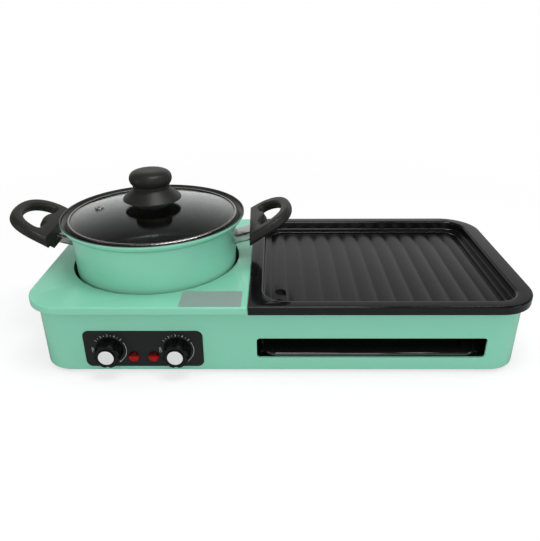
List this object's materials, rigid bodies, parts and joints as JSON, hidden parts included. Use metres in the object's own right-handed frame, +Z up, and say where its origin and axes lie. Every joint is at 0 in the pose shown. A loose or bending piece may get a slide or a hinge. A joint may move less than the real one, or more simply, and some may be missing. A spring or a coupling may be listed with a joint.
{
  "type": "electric hot pot and grill",
  "caption": "Table cooker: a long housing with a lift-out hot pot under a domed glass lid beside a ribbed lift-off grill plate, with front dials, lamps and a slide-out drip tray.",
  "frame": {"origin": "on the table, under the middle of the whole object's box", "axes": "+X along the housing from the pot to the grill plate, +Y from the dials at the front to the back, +Z up"},
  "size_m": [0.6577, 0.2978, 0.2199],
  "materials": {
    "green_plastic": "moulded mint green, soft gloss",
    "black_plastic": "moulded black, satin gloss",
    "phenolic": "moulded phenolic, satin",
    "white_plastic": "moulded pale grey, matte",
    "lens": "clear red plastic, polished",
    "rubber_feet": "moulded rubber, matte",
    "sheet_steel": "zinc plated sheet steel",
    "black_steel": "black enamel on steel",
    "plated_steel": "bright plated steel",
    "stainless": "stainless steel, satin",
    "heater_tube": "oxidised steel sheath",
    "heater_disc": "cast aluminium",
    "ceramic": null,
    "nonstick_cast": "non-stick coated casting, satin",
    "green_enamel": "green coating outside, dark non-stick inside",
    "clear_glass": "tempered clear glass",
    "silicone": "silicone washer",
    "wire": "silicone insulated wire"
  },
  "bodies": {
    "housing": {"lower_housing": "green_plastic", "top_cover": "green_plastic", "bottom_plate": "sheet_steel", "foot_front_left": "rubber_feet", "foot_rear_left": "rubber_feet", "foot_front_right": "rubber_feet", "foot_rear_right": "rubber_feet", "bottom_screws": "plated_steel", "control_panel": "black_plastic", "lamp_left": "lens", "lamp_right": "lens", "thermostat_left": "phenolic", "thermostat_right": "phenolic", "heater_dish": "sheet_steel", "pot_heater": "heater_disc", "heater_studs": "stainless", "heat_shield": "sheet_steel", "reflector_pan": "sheet_steel", "grill_heater": "heater_tube", "heater_saddles": "ceramic", "tray_rail_left": "sheet_steel", "tray_rail_right": "sheet_steel", "cord_gland": "black_plastic", "terminal_block": "phenolic", "wiring": "wire"},
    "pot": {"pot_shell": "green_enamel", "handle_bracket_left": "plated_steel", "handle_bracket_right": "plated_steel", "handle_left": "phenolic", "handle_right": "phenolic"},
    "lid": {"lid_glass": "clear_glass", "lid_band": "stainless", "steam_vent": "stainless", "lid_knob_base": "black_plastic", "lid_knob": "black_plastic", "lid_washer": "silicone", "lid_screw": "plated_steel"},
    "grill": {"grill_plate": "nonstick_cast"},
    "tray": {"drip_tray": "black_steel"},
    "dial_left": {"knob_left": "black_plastic", "knob_cap_left": "white_plastic", "knob_shaft_left": "plated_steel"},
    "dial_right": {"knob_right": "black_plastic", "knob_cap_right": "white_plastic", "knob_shaft_right": "plated_steel"}
  },
  "joints": [
    {"name": "pot_lift", "type": "slide", "parent": "housing", "child": "pot", "axis": [0, 0, 1], "range_m": [0, 0.15]},
    {"name": "lid_lift", "type": "slide", "parent": "pot", "child": "lid", "axis": [0, 0, 1], "range_m": [0, 0.15]},
    {"name": "grill_lift", "type": "slide", "parent": "housing", "child": "grill", "axis": [0, 0, 1], "range_m": [0, 0.02]},
    {"name": "tray_pull", "type": "slide", "parent": "housing", "child": "tray", "axis": [0, -1, 0], "range_m": [0, 0.2]},
    {"name": "dial_left_turn", "type": "hinge", "parent": "housing", "child": "dial_left", "pos_m": [-0.18496, -0.1296, 0.034], "axis": [0, 1, 0], "range_deg": [0, 270]},
    {"name": "dial_right_turn", "type": "hinge", "parent": "housing", "child": "dial_right", "pos_m": [-0.10286, -0.1296, 0.034], "axis": [0, 1, 0], "range_deg": [0, 270]}
  ]
}
